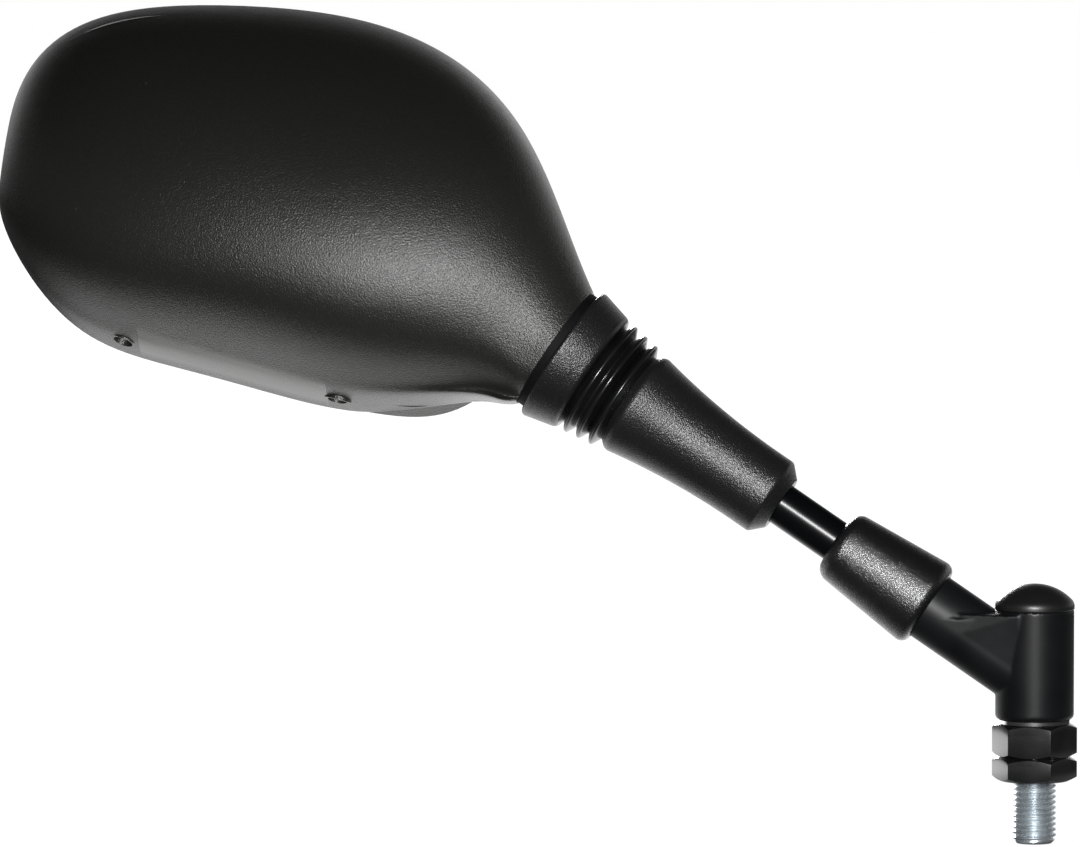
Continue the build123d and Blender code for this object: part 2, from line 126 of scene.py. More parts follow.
def mixNode(tree, kind, factor, first, second):
    node = addNode(tree, "ShaderNodeMix", data_type=kind)
    tree.links.new(factor, node.inputs["Factor"])
    setInput(tree, node.inputs["A"], first)
    setInput(tree, node.inputs["B"], second)
    return node.outputs["Result"]


def mixColours(tree, factor, first, second):
    if not isinstance(first, bpy.types.NodeSocket):
        first = (*first, 1.0)
    return mixNode(tree, "RGBA", factor, first, (*second, 1.0))


def groupTree(name, inputs, outputs):
    tree = bpy.data.node_groups.new(name, "ShaderNodeTree")
    tree.interface.new_socket("Vector", in_out="INPUT", socket_type="NodeSocketVector")
    for socketName, value in inputs:
        socket = tree.interface.new_socket(socketName, in_out="INPUT", socket_type="NodeSocketFloat")
        socket.default_value = value
    for socketName in outputs:
        tree.interface.new_socket(socketName, in_out="OUTPUT", socket_type="NodeSocketFloat")
    return tree, addNode(tree, "NodeGroupInput"), addNode(tree, "NodeGroupOutput")


stipple = {"detail": 1.0, "gritScale": 2.3, "fleck": (0.5, 0.72)}


def buildStipple():
    # spark-eroded mould grain: fine random bumps of two sizes, and the few that stand highest
    tree, source, result = groupTree("stippleGrain", [("Cells", 2200.0), ("Break Up", 0.4)],
                                     ["Height", "Fleck"])
    bumps = addNode(tree, "ShaderNodeTexNoise")
    grit = addNode(tree, "ShaderNodeTexNoise")
    for texture, factor in ((bumps, 1.0), (grit, stipple["gritScale"])):
        texture.inputs["Detail"].default_value = stipple["detail"]
        tree.links.new(source.outputs["Vector"], texture.inputs["Vector"])
        tree.links.new(mathNode(tree, "MULTIPLY", source.outputs["Cells"], factor), texture.inputs["Scale"])
    rough = mathNode(tree, "MULTIPLY", grit.outputs["Fac"], source.outputs["Break Up"])
    tree.links.new(mathNode(tree, "ADD", bumps.outputs["Fac"], rough), result.inputs["Height"])
    tree.links.new(rangeNode(tree, bumps.outputs["Fac"], *stipple["fleck"]), result.inputs["Fleck"])
    return tree


handling = {"detail": 4.0, "patch": (0.3, 0.7), "speck": (0.05, 0.09), "speckLimit": 0.9}


def buildHandling():
    # slow, cloudy change of gloss, as on mouldings and paint that have been handled, with a few dust specks
    tree, source, result = groupTree(
        "handledSurface",
        [("Patch Scale", 40.0), ("Gloss Low", 0.4), ("Gloss High", 0.5), ("Speck Scale", 260.0)],
        ["Roughness", "Patch", "Specks"])
    cloud = addNode(tree, "ShaderNodeTexNoise")
    cloud.inputs["Detail"].default_value = handling["detail"]
    specks = addNode(tree, "ShaderNodeTexVoronoi", feature="F1")
    tree.links.new(source.outputs["Vector"], cloud.inputs["Vector"])
    tree.links.new(source.outputs["Patch Scale"], cloud.inputs["Scale"])
    tree.links.new(source.outputs["Vector"], specks.inputs["Vector"])
    tree.links.new(source.outputs["Speck Scale"], specks.inputs["Scale"])
    patch = rangeNode(tree, cloud.outputs["Fac"], *handling["patch"])
    spread = mathNode(tree, "SUBTRACT", source.outputs["Gloss High"], source.outputs["Gloss Low"])
    gloss = mathNode(tree, "MULTIPLY_ADD", patch, spread, source.outputs["Gloss Low"])
    dot = rangeNode(tree, specks.outputs["Distance"], *handling["speck"], 1.0, 0.0)
    pick = addNode(tree, "ShaderNodeSeparateColor")
    tree.links.new(specks.outputs["Color"], pick.inputs["Color"])
    kept = mathNode(tree, "GREATER_THAN", pick.outputs["Red"], handling["speckLimit"])
    tree.links.new(gloss, result.inputs["Roughness"])
    tree.links.new(patch, result.inputs["Patch"])
    tree.links.new(mathNode(tree, "MULTIPLY", dot, kept), result.inputs["Specks"])
    return tree


stippleGrain = buildStipple()
handledSurface = buildHandling()


def newMaterial(name):
    material = bpy.data.materials.new(name)
    material.use_nodes = True
    tree = material.node_tree
    shader = tree.nodes["Principled BSDF"]
    coords = addNode(tree, "ShaderNodeTexCoord").outputs["Object"]
    return material, tree, shader, coords


def useGroup(tree, group, coords, **values):
    node = addNode(tree, "ShaderNodeGroup", node_tree=group)
    tree.links.new(coords, node.inputs["Vector"])
    for name, value in values.items():
        node.inputs[name.replace("_", " ")].default_value = value
    return node


def useHandling(tree, coords, look):
    return useGroup(tree, handledSurface, coords, Patch_Scale=look["patches"], Gloss_Low=look["glossLow"],
                    Gloss_High=look["glossHigh"])


def bumpInto(tree, shader, height, look):
    bump = addNode(tree, "ShaderNodeBump")
    bump.inputs["Strength"].default_value = look["bump"]
    bump.inputs["Distance"].default_value = look["depth"]
    tree.links.new(height, bump.inputs["Height"])
    tree.links.new(bump.outputs["Normal"], shader.inputs["Normal"])


def boxMask(tree, coords, box):
    # 1 inside a box that stands in the head's frame, with a soft edge on each axis; None leaves a side open
    turned = addNode(tree, "ShaderNodeMapping", vector_type="TEXTURE")
    turned.inputs["Location"].default_value = headPlace.to_translation()
    turned.inputs["Rotation"].default_value = headPlace.to_euler()
    tree.links.new(coords, turned.inputs["Vector"])
    split = addNode(tree, "ShaderNodeSeparateXYZ")
    tree.links.new(turned.outputs["Vector"], split.inputs["Vector"])
    mask = None
    for axis, bottom, top, edge in zip(split.outputs, box["low"], box["high"], box["soft"]):
        for limit, inwards in ((bottom, 1), (top, -1)):
            if limit is None:
                continue
            side = rangeNode(tree, axis, limit, limit + inwards * edge)
            mask = side if mask is None else mathNode(tree, "MULTIPLY", mask, side)
    return mask


# Finishes of black moulded plastic and rubber

dustColour = (0.25, 0.25, 0.24)


def grainedMaterial(name, look, panel=None):
    material, tree, shader, coords = newMaterial(name)
    grain = useGroup(tree, stippleGrain, coords, Cells=look["cells"], Break_Up=look["breakUp"])
    handled = useHandling(tree, coords, look)
    handled.inputs["Speck Scale"].default_value = look["specks"]
    dust = mathNode(tree, "MULTIPLY", handled.outputs["Specks"], look["dust"])
    colour = mixColours(tree, grain.outputs["Fleck"], look["dark"], look["light"])
    colour = mixColours(tree, dust, colour, dustColour)
    roughness = handled.outputs["Roughness"]
    height = grain.outputs["Height"]
    if panel:
        mask = boxMask(tree, coords, panel)
        colour = mixColours(tree, mask, colour, panel["colour"])
        roughness = mathNode(tree, "MULTIPLY_ADD", mask, panel["gloss"], roughness)
        height = mathNode(tree, "MULTIPLY", height, mathNode(tree, "SUBTRACT", 1.0, mask))
    tree.links.new(colour, shader.inputs["Base Color"])
    tree.links.new(roughness, shader.inputs["Roughness"])
    shader.inputs["Specular IOR Level"].default_value = look["specular"]
    bumpInto(tree, shader, height, look)
    return material


shellLook = {"cells": 2600.0, "breakUp": 0.5, "patches": 18.0, "glossLow": 0.29, "glossHigh": 0.35,
             "dark": (0.0092, 0.0097, 0.0079), "light": (0.0126, 0.0130, 0.0110), "specular": 0.5,
             "specks": 210.0, "dust": 0.06, "bump": 1.0, "depth": 0.000105}
bootLook = {"cells": 2800.0, "breakUp": 0.5, "patches": 45.0, "glossLow": 0.29, "glossHigh": 0.34,
            "dark": (0.0070, 0.0072, 0.0070), "light": (0.0105, 0.0107, 0.0105), "specular": 0.5,
            "specks": 320.0, "dust": 0.06, "bump": 1.0, "depth": 0.00010}
sleeveLook = {"cells": 3000.0, "breakUp": 0.6, "patches": 55.0, "glossLow": 0.22, "glossHigh": 0.27,
              "dark": (0.0045, 0.0045, 0.0046), "light": (0.0080, 0.0080, 0.0082), "specular": 1.0,
              "specks": 300.0, "dust": 0.06, "bump": 1.0, "depth": 0.000095}
capLook = {"cells": 3600.0, "breakUp": 0.3, "patches": 60.0, "glossLow": 0.36, "glossHigh": 0.42,
           "dark": (0.0055, 0.0055, 0.0055), "light": (0.0080, 0.0080, 0.0080), "specular": 0.5,
           "specks": 340.0, "dust": 0.1, "bump": 0.6, "depth": 0.00003}
carrierLook = {"cells": 2600.0, "breakUp": 0.4, "patches": 30.0, "glossLow": 0.45, "glossHigh": 0.55,
               "dark": (0.011, 0.011, 0.0112), "light": (0.016, 0.016, 0.0162), "specular": 0.5,
               "specks": 250.0, "dust": 0.2, "bump": 0.8, "depth": 0.00006}
# nearly black and with little gloss: painted shade for the socket ring and the ring in the groove between the
# collar and the neck
grooveShadeLook = {"cells": 1800.0, "breakUp": 0.4, "patches": 60.0, "glossLow": 0.62, "glossHigh": 0.72,
            "dark": (0.0020, 0.0020, 0.0021), "light": (0.0035, 0.0035, 0.0036), "specular": 0.1,
            "specks": 300.0, "dust": 0.0, "bump": 0.6, "depth": 0.00006}

# The bare panel on the lower wall runs from one screw to the other, in metres
barePanel = {"margin": 0.0026, "wall": 0.030, "foot": 0.0006, "top": 0.0165, "soft": (0.00025, 0.001, 0.0040),
             "gloss": -0.06, "colour": (0.035, 0.035, 0.033), "screwEnd": 0.0012}


def screwCentres():
    # the middle of each screw's head end, in the head's frame: the lowest points of the two loose pieces
    flat = [headPlace.inverted() @ vert.co for vert in nodes["carrier_screws"].data.vertices]
    middle = (min(point.x for point in flat) + max(point.x for point in flat)) / 2
    centres = []
    left = [point for point in flat if point.x < middle]
    right = [point for point in flat if point.x >= middle]
    for points in (left, right):
        low = min(point.y for point in points)
        ends = [point for point in points if point.y < low + barePanel["screwEnd"]]
        centres.append(sum(ends, Vector()) / len(ends))
    return centres


leftScrew, rightScrew = screwCentres()
barePanel["low"] = (leftScrew.x + barePanel["margin"], None, barePanel["foot"])
barePanel["high"] = (rightScrew.x - barePanel["margin"], barePanel["wall"], barePanel["top"])

shellPlastic = grainedMaterial("shellPlastic", shellLook, barePanel)
bootRubber = grainedMaterial("bootRubber", bootLook)
sleeveRubber = grainedMaterial("sleeveRubber", sleeveLook)
capPlastic = grainedMaterial("capPlastic", capLook)
carrierPlastic = grainedMaterial("carrierPlastic", carrierLook)
# painted shade: makes the groove between the collar and the neck look black
grooveShadePlastic = grainedMaterial("grooveShadePlastic", grooveShadeLook)


# Smooth black paint and smooth rubber

peelDetail = 3.0
coatRoughness = 0.1


def paintedMaterial(name, look):
    # slow waves in the surface, and on the nuts a thin clear coat
    material, tree, shader, coords = newMaterial(name)
    handled = useHandling(tree, coords, look)
    peel = addNode(tree, "ShaderNodeTexNoise")
    peel.inputs["Scale"].default_value = look["peel"]
    peel.inputs["Detail"].default_value = peelDetail
    tree.links.new(coords, peel.inputs["Vector"])
    colour = mixColours(tree, handled.outputs["Patch"], look["dark"], look["light"])
    tree.links.new(colour, shader.inputs["Base Color"])
    tree.links.new(handled.outputs["Roughness"], shader.inputs["Roughness"])
    shader.inputs["Specular IOR Level"].default_value = look["specular"]
    shader.inputs["Coat Weight"].default_value = look["coat"]
    shader.inputs["Coat Roughness"].default_value = coatRoughness
    bumpInto(tree, shader, peel.outputs["Fac"], look)
    return material


castLook = {"patches": 70.0, "glossLow": 0.38, "glossHigh": 0.45, "specular": 0.21, "coat": 0.0,
            "dark": (0.0030, 0.0033, 0.0038), "light": (0.0045, 0.0048, 0.0054),
            "peel": 900.0, "bump": 0.12, "depth": 0.00008}
rodLook = {"patches": 60.0, "glossLow": 0.22, "glossHigh": 0.26, "specular": 0.18, "coat": 0.0,
           "dark": (0.0015, 0.0017, 0.0020), "light": (0.0025, 0.0027, 0.0030),
           "peel": 500.0, "bump": 0.05, "depth": 0.00004}
foldLook = {"patches": 90.0, "glossLow": 0.22, "glossHigh": 0.30, "specular": 0.5, "coat": 0.0,
            "dark": (0.0045, 0.0046, 0.0048), "light": (0.0070, 0.0071, 0.0073),
            "peel": 700.0, "bump": 0.08, "depth": 0.00005}
nutLook = {"patches": 110.0, "glossLow": 0.13, "glossHigh": 0.19, "specular": 0.7, "coat": 0.6,
           "dark": (0.0030, 0.0030, 0.0032), "light": (0.0060, 0.0060, 0.0062),
           "peel": 1400.0, "bump": 0.10, "depth": 0.00004}
screwLook = {"patches": 160.0, "glossLow": 0.36, "glossHigh": 0.46, "specular": 0.3, "coat": 0.0,
             "dark": (0.0030, 0.0030, 0.0032), "light": (0.0060, 0.0060, 0.0062),
             "peel": 1400.0, "bump": 0.10, "depth": 0.00004}

castPaint = paintedMaterial("castPaint", castLook)
rodPaint = paintedMaterial("rodPaint", rodLook)
foldRubber = paintedMaterial("foldRubber", foldLook)
nutBlack = paintedMaterial("nutBlack", nutLook)
screwBlack = paintedMaterial("screwBlack", screwLook)


# Bright metal: rolled or plated, with fine streaks round its axis and a cloudy gloss

def metalMaterial(name, look):
    material, tree, shader, coords = newMaterial(name)
    handled = useHandling(tree, coords, look)
    stretch = addNode(tree, "ShaderNodeMapping")
    stretch.inputs["Scale"].default_value = look["streak"]
    streak = addNode(tree, "ShaderNodeTexNoise")
    streak.inputs["Scale"].default_value = 1.0
    streak.inputs["Detail"].default_value = look["streakDetail"]
    tree.links.new(coords, stretch.inputs["Vector"])
    tree.links.new(stretch.outputs["Vector"], streak.inputs["Vector"])
    colour = mixColours(tree, streak.outputs["Fac"], look["dark"], look["light"])
    tree.links.new(colour, shader.inputs["Base Color"])
    tree.links.new(handled.outputs["Roughness"], shader.inputs["Roughness"])
    shader.inputs["Metallic"].default_value = look["metallic"]
    bumpInto(tree, shader, streak.outputs["Fac"], look)
    return material


zincLook = {"patches": 180.0, "glossLow": 0.22, "glossHigh": 0.34, "streak": (420.0, 420.0, 1500.0),
            "streakDetail": 3.0, "dark": (0.54, 0.60, 0.64), "light": (0.75, 0.80, 0.83), "bump": 0.04,
            "depth": 0.00005, "metallic": 0.88}
steelLook = {"patches": 120.0, "glossLow": 0.09, "glossHigh": 0.14, "streak": (300.0, 300.0, 2200.0),
             "streakDetail": 3.0, "dark": (0.62, 0.62, 0.62), "light": (0.82, 0.82, 0.81), "bump": 0.08,
             "depth": 0.00003, "metallic": 1.0}

zincPlate = metalMaterial("zincPlate", zincLook)
brightSteel = metalMaterial("brightSteel", steelLook)


# Silvered glass with a faint haze, darker than real silver so that it stands out in the white studio

mirrorLook = {"patches": 25.0, "glossLow": 0.015, "glossHigh": 0.04, "dark": (0.34, 0.37, 0.385),
              "light": (0.37, 0.40, 0.415), "coat": 0.5, "coatRoughness": 0.01}


def mirrorMaterial(name, look):
    material, tree, shader, coords = newMaterial(name)
    handled = useHandling(tree, coords, look)
    colour = mixColours(tree, handled.outputs["Patch"], look["dark"], look["light"])
    tree.links.new(colour, shader.inputs["Base Color"])
    tree.links.new(handled.outputs["Roughness"], shader.inputs["Roughness"])
    shader.inputs["Metallic"].default_value = 1.0
    shader.inputs["Coat Weight"].default_value = look["coat"]
    shader.inputs["Coat Roughness"].default_value = look["coatRoughness"]
    return material


silveredGlass = mirrorMaterial("silveredGlass", mirrorLook)


# Natural nylon of the ball's seats

nylonLook = {"cells": 2400.0, "breakUp": 0.3, "dark": (0.62, 0.60, 0.54), "light": (0.70, 0.68, 0.62),
             "glossLow": 0.38, "glossHigh": 0.5, "bump": 0.15, "depth": 0.00005}


def nylonMaterial(name, look):
    material, tree, shader, coords = newMaterial(name)
    grain = useGroup(tree, stippleGrain, coords, Cells=look["cells"], Break_Up=look["breakUp"])
    fleck = grain.outputs["Fleck"]
    tree.links.new(mixColours(tree, fleck, look["dark"], look["light"]), shader.inputs["Base Color"])
    gloss = rangeNode(tree, fleck, 0.0, 1.0, look["glossLow"], look["glossHigh"])
    tree.links.new(gloss, shader.inputs["Roughness"])
    bumpInto(tree, shader, grain.outputs["Height"], look)
    return material


seatNylon = nylonMaterial("seatNylon", nylonLook)
print("finishes ready")


# Mesh helpers

nodeMerge = 2e-6  # a CAD node's mesh is loose triangles
turnMerge = 1e-7


def roundedOutline(corners, segments):
    # corners are (radius, height) or (radius, height, rounding) in millimetres; the outline is closed
    points = []
    for place, corner in enumerate(corners):
        here = Vector(corner[:2])
        if len(corner) < 3:
            points.append(here)
            continue
        size = corner[2]
        back = (Vector(corners[place - 1][:2]) - here).normalized()
        ahead = (Vector(corners[(place + 1) % len(corners)][:2]) - here).normalized()
        half = back.angle(ahead) / 2
        middle = here + (back + ahead).normalized() * (size / math.sin(half))
        first = here + back * (size / math.tan(half)) - middle
        last = here + ahead * (size / math.tan(half)) - middle
        turn = first.angle_signed(last)
        for step in range(segments + 1):
            points.append(middle + Matrix.Rotation(-turn * step / segments, 2) @ first)
    return points


def meshObject(name, bm, material, smoothAngle=35.0):
    mesh = bpy.data.meshes.new(name)
    bm.to_mesh(mesh)
    bm.free()
    mesh.materials.append(material)
    mesh.shade_smooth()
    mesh.set_sharp_from_angle(angle=math.radians(smoothAngle))
    piece = bpy.data.objects.new(name, mesh)
    bpy.context.scene.collection.objects.link(piece)
    return piece


def turnedPiece(name, corners, material, place, steps, segments=8, smoothAngle=35.0):
    # a closed outline spun about Z; points on the axis close the shape there
    bm = bmesh.new()
    verts = [bm.verts.new((point.x * mm, 0.0, point.y * mm)) for point in roundedOutline(corners, segments)]
    for vert, following in zip(verts, verts[1:] + verts[:1]):
        if max(vert.co.x, following.co.x) > turnMerge:
            bm.edges.new((vert, following))
    bmesh.ops.spin(bm, geom=bm.verts[:] + bm.edges[:], cent=(0, 0, 0), axis=(0, 0, 1), dvec=(0, 0, 0),
                   angle=2 * math.pi, steps=steps, use_merge=True)
    bmesh.ops.remove_doubles(bm, verts=bm.verts[:], dist=turnMerge)
    bmesh.ops.recalc_face_normals(bm, faces=bm.faces[:])
    bmesh.ops.transform(bm, matrix=place, verts=bm.verts[:])
    return meshObject(name, bm, material, smoothAngle)


def mergedNode(node):
    bm = bmesh.new()
    bm.from_mesh(nodes[node].data)
    bmesh.ops.remove_doubles(bm, verts=bm.verts[:], dist=nodeMerge)
    return bm


def cutFlat(bm, height, normal):
    # cuts off what lies past a level plane, and closes the cut
    everything = bm.verts[:] + bm.edges[:] + bm.faces[:]
    cut = bmesh.ops.bisect_plane(bm, geom=everything, plane_co=(0, 0, height * mm), plane_no=normal,
                                 clear_outer=True)
    rim = [item for item in cut["geom_cut"] if isinstance(item, bmesh.types.BMEdge)]
    bmesh.ops.edgeloop_fill(bm, edges=rim)


def applyModifiers(piece):
    depsgraph = bpy.context.evaluated_depsgraph_get()
    mesh = bpy.data.meshes.new_from_object(piece.evaluated_get(depsgraph))
    piece.modifiers.clear()
    piece.data = mesh


def wear(material, *names):
    for name in names:
        mesh = nodes[name].data
        mesh.materials.clear()
        mesh.materials.append(material)


def stand(piece, body, replaced):
    if body:
        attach(piece, body)
    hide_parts(replaced)


# Rubber boot: sleeve along the stem, three folds over the ball joint and a collar on the head

boot = {
    "mouth": 5.3, "groove": 0.6,
    "collarLength": 9.4, "collarInside": 12.42, "collarMouth": 16.95, "collarFold": 14.8,
    "collarRound": 0.9, "collarHeel": 1.6, "collarWall": 2.2, "collarDepth": 3.6,
    "lip": 15.05, "lipLead": 0.3, "lipGap": 0.4,
    "foldCount": 3, "foldLead": 2.05, "foldPitch": 3.15, "foldCrest": 14.6, "foldStep": 0.475,
    "foldDepth": 2.4, "foldWall": 1.3, "crestRound": 0.5, "valleyRound": 0.18, "twistCut": 0.5,
    "tuck": 0.1, "tuckOutside": 0.6, "tuckInside": 1.9,
    "taperLead": 1.9, "taperLength": 40.6, "taperBig": 12.7, "taperSmall": 9.45, "taperEnd": 6.5,
    "taperWall": 2.2, "taperRound": 1.3, "endRound": 0.4, "shoulderRound": 2.0,
    "flareLength": 17.5, "flareRound": 175.0,
    "grip": 5.0, "gripLength": 9.0, "gripLead": 2.0,
    "steps": 160, "roundSteps": 10, "foldSteps": 6, "foldAngle": 50.0,
}


def buildBoot():
    b = boot
    mouth = ballDistance + b["mouth"]
    collarFoot = mouth - b["collarLength"]
    collarTop = mouth - b["groove"]
    crests = []
    valleys = []
    # a rounded crest stands lower than its corner
    flankAngle = math.atan2(b["foldPitch"] / 2, b["foldDepth"])
    crestRise = b["crestRound"] * (1 / math.sin(flankAngle) - 1)
    for fold in range(b["foldCount"] + 1):  # the last valley is the foot of the lowest fold
        crestPlace = collarFoot - b["foldLead"] - fold * b["foldPitch"]
        crests.append((b["foldCrest"] - fold * b["foldStep"] + crestRise, crestPlace, b["crestRound"]))
        valleys.append((b["foldCrest"] - b["foldDepth"] - (fold - 0.5) * b["foldStep"],
                        crestPlace + b["foldPitch"] / 2, b["valleyRound"]))
    taperTop = valleys[3][1] - b["taperLead"]
    taperFoot = taperTop - b["taperLength"]
    gripTop = taperFoot + b["gripLength"]

    def inside(corner):
        return (corner[0] - b["foldWall"], corner[1])

    # the cut between the two lower folds, then one on the next flank, where the outline is straight
    foldFoot = valleys[3][:2]
    lowCut = valleys[2][:2]
    highCut = tuple(low + (crest - low) * b["twistCut"] for low, crest in zip(lowCut, crests[1]))
    sleeve = [
        (b["grip"], taperFoot), (b["taperEnd"], taperFoot, b["endRound"]),
        (b["taperSmall"], taperFoot + b["taperSmall"] - b["taperEnd"], b["taperRound"]),
        (b["taperSmall"], taperTop - b["flareLength"], b["flareRound"]),
        (b["taperBig"], taperTop, b["shoulderRound"]), foldFoot, inside(foldFoot),
        (b["taperSmall"] - b["taperWall"], gripTop + b["gripLead"]), (b["grip"], gripTop),
    ]
    lowFold = [foldFoot, crests[2], lowCut, inside(lowCut), inside(crests[2]), inside(foldFoot)]
    midFold = [lowCut, highCut, inside(highCut), inside(lowCut)]
    highFold = [
        highCut, crests[1], valleys[1], crests[0], valleys[0][:2],
        (b["collarFold"] - b["tuckOutside"], collarFoot + b["tuck"]),
        (b["collarFold"] - b["tuckInside"], collarFoot + b["tuck"]),
        inside(valleys[0]), inside(crests[0]), inside(valleys[1]), inside(crests[1]), inside(highCut),
    ]
    collar = [
        (b["collarFold"] - b["collarWall"], collarFoot), (b["collarFold"], collarFoot, b["collarHeel"]),
        (b["collarMouth"], collarTop, b["collarRound"]), (b["collarInside"], collarTop),
        (b["collarInside"], ballDistance - b["collarDepth"]),
    ]
    # a dark ring that fills the groove between the collar and the neck: painted shade where the open groove
    # would be dark from shadow
    lipFoot = collarTop - b["lipLead"]
    lipTop = ballDistance + head["mouth"] + b["lipLead"]
    lipInside = b["collarInside"] + b["lipGap"]
    lip = [(lipInside, lipFoot), (b["lip"], lipFoot), (b["lip"], lipTop), (lipInside, lipTop)]

    for name, corners, material, body in (("boot_sleeve", sleeve, bootRubber, "arm"),
                                          ("boot_collar", collar, bootRubber, "head"),
                                          ("boot_lip", lip, grooveShadePlastic, "head")):
        piece = turnedPiece(name, corners, material, stemPlace, b["steps"], b["roundSteps"])
        stand(piece, body, "boot")
    for name, corners, bodies, start, end in (
            ("boot_low_fold", lowFold, ("arm", "front_seat"), foldFoot[1], lowCut[1]),
            ("boot_mid_fold", midFold, ("front_seat", "rear_seat"), lowCut[1], highCut[1]),
            ("boot_high_fold", highFold, ("rear_seat", "head"), highCut[1], collarFoot)):
        piece = turnedPiece(name, corners, foldRubber, stemPlace, b["steps"], b["foldSteps"], b["foldAngle"])
        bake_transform(piece)
        stand(piece, None, "boot")


buildBoot()
print("boot ready")


# Sleeve over the lock nut, and the stem

lockSleeve = {"foot": 29.0, "length": 26.3, "overArm": 8.1, "footRadius": 10.7, "tipRadius": 8.4,
              "overStem": 5.0, "footRound": 2.3, "tipRound": 3.3, "mouthRound": 0.3, "stemGrip": 9.0,
              "shoulder": 13.0, "steps": 144, "roundSteps": 12}


def buildLockSleeve():
    s = lockSleeve
    tip = s["foot"] + s["length"]
    corners = [
        (s["overArm"], s["foot"], s["mouthRound"]), (s["footRadius"], s["foot"], s["footRound"]),
        (s["tipRadius"], tip, s["tipRound"]), (s["overStem"], tip), (s["overStem"], tip - s["stemGrip"]),
        (s["overArm"], tip - s["shoulder"]),
    ]
    piece = turnedPiece("lock_sleeve", corners, sleeveRubber, stemPlace, s["steps"], s["roundSteps"])
    stand(piece, "arm", "lock_nut_sleeve")


buildLockSleeve()
wear(rodPaint, "stem")
print("sleeve and stem ready")


# Mounting stud with a rolled thread

stud = {"length": 14.4, "radius": 5.0, "pitch": 1.25, "threadDepth": 0.72, "crestWidth": 0.22,
        "rootWidth": 0.2, "endChamfer": 1.0, "stepsPerTurn": 64, "cut": 0.02, "smoothAngle": 40.0}


def buildStud():
    s = stud
    root = s["radius"] - s["threadDepth"]
    halfRoot = s["rootWidth"] / 2
    flank = (s["pitch"] - s["crestWidth"] - s["rootWidth"]) / 2
    bm = bmesh.new()
    # one turn's outline, from the middle of a root to the middle of the next
    outline = [(root, 0.0), (root, halfRoot), (s["radius"], halfRoot + flank),
               (s["radius"], s["pitch"] - halfRoot - flank), (root, s["pitch"] - halfRoot),
               (root, s["pitch"])]
    turns = math.ceil(s["length"] / s["pitch"]) + 2
    foot = -s["length"] - s["pitch"]
    verts = [bm.verts.new((radius * mm, 0.0, (foot + height) * mm)) for radius, height in outline]
    for first, second in zip(verts, verts[1:]):
        bm.edges.new((first, second))
    bmesh.ops.spin(bm, geom=bm.verts[:] + bm.edges[:], cent=(0, 0, 0), axis=(0, 0, 1),
                   dvec=(0, 0, s["pitch"] * mm / s["stepsPerTurn"]), angle=2 * math.pi * turns,
                   steps=s["stepsPerTurn"] * turns, use_merge=False)
    bmesh.ops.remove_doubles(bm, verts=bm.verts[:], dist=nodeMerge)
    cutFlat(bm, -s["length"], (0, 0, -1))
    cutFlat(bm, 0.0, (0, 0, 1))
    # the chamfer draws the thread in towards its end
    for vert in bm.verts:
        rise = vert.co.z / mm + s["length"]
        limit = (s["radius"] - s["endChamfer"] + max(rise, 0.0)) * mm
        reach = math.hypot(vert.co.x, vert.co.y)
        if reach > limit:
            vert.co.x *= limit / reach
            vert.co.y *= limit / reach
    bmesh.ops.recalc_face_normals(bm, faces=bm.faces[:])
    thread = meshObject("mounting_thread", bm, zincPlate, s["smoothAngle"])
    stand(thread, "mount", "mounting_stud")
    # the bolt above the thread is the CAD form
    bolt = mergedNode("mounting_stud")
    cutFlat(bolt, s["cut"], (0, 0, -1))
    bmesh.ops.recalc_face_normals(bolt, faces=bolt.faces[:])
    stand(meshObject("pivot_bolt", bolt, zincPlate), "mount", "mounting_stud")


buildStud()
print("stud ready")


# Nuts with softened edges

nutEdge = {"width": 0.0003, "segments": 3, "angle": 28.0}


def buildNut(node):
    piece = meshObject(node + "_black", mergedNode(node), nutBlack)
    bevel = piece.modifiers.new("softEdges", "BEVEL")
    bevel.width = nutEdge["width"]
    bevel.segments = nutEdge["segments"]
    bevel.limit_method = "ANGLE"
    bevel.angle_limit = math.radians(nutEdge["angle"])
    bevel.use_clamp_overlap = True
    stand(piece, "mount", node)
    return piece


nuts = [buildNut("jam_nut"), buildNut("pivot_nut")]
wear(brightSteel, "plain_washer", "thrust_washer", "disc_springs")
wear(nutBlack, "stem_lock_nut")
print("nuts ready")


# Cast elbow: the CAD form with its edges run together, as a casting has them

elbowCast = {"voxel": 0.00028, "rounds": 4, "share": 0.5, "webEdge": -2.4, "webTop": 38.5, "webFoot": 24.4,
             "webReach": 14.4, "webHalf": 8.95, "armHalf": 7.93, "topHalf": 7.4, "inside": 7.3, "heel": 3.4,
             "barOutside": -7.8, "barDepth": 3.0}


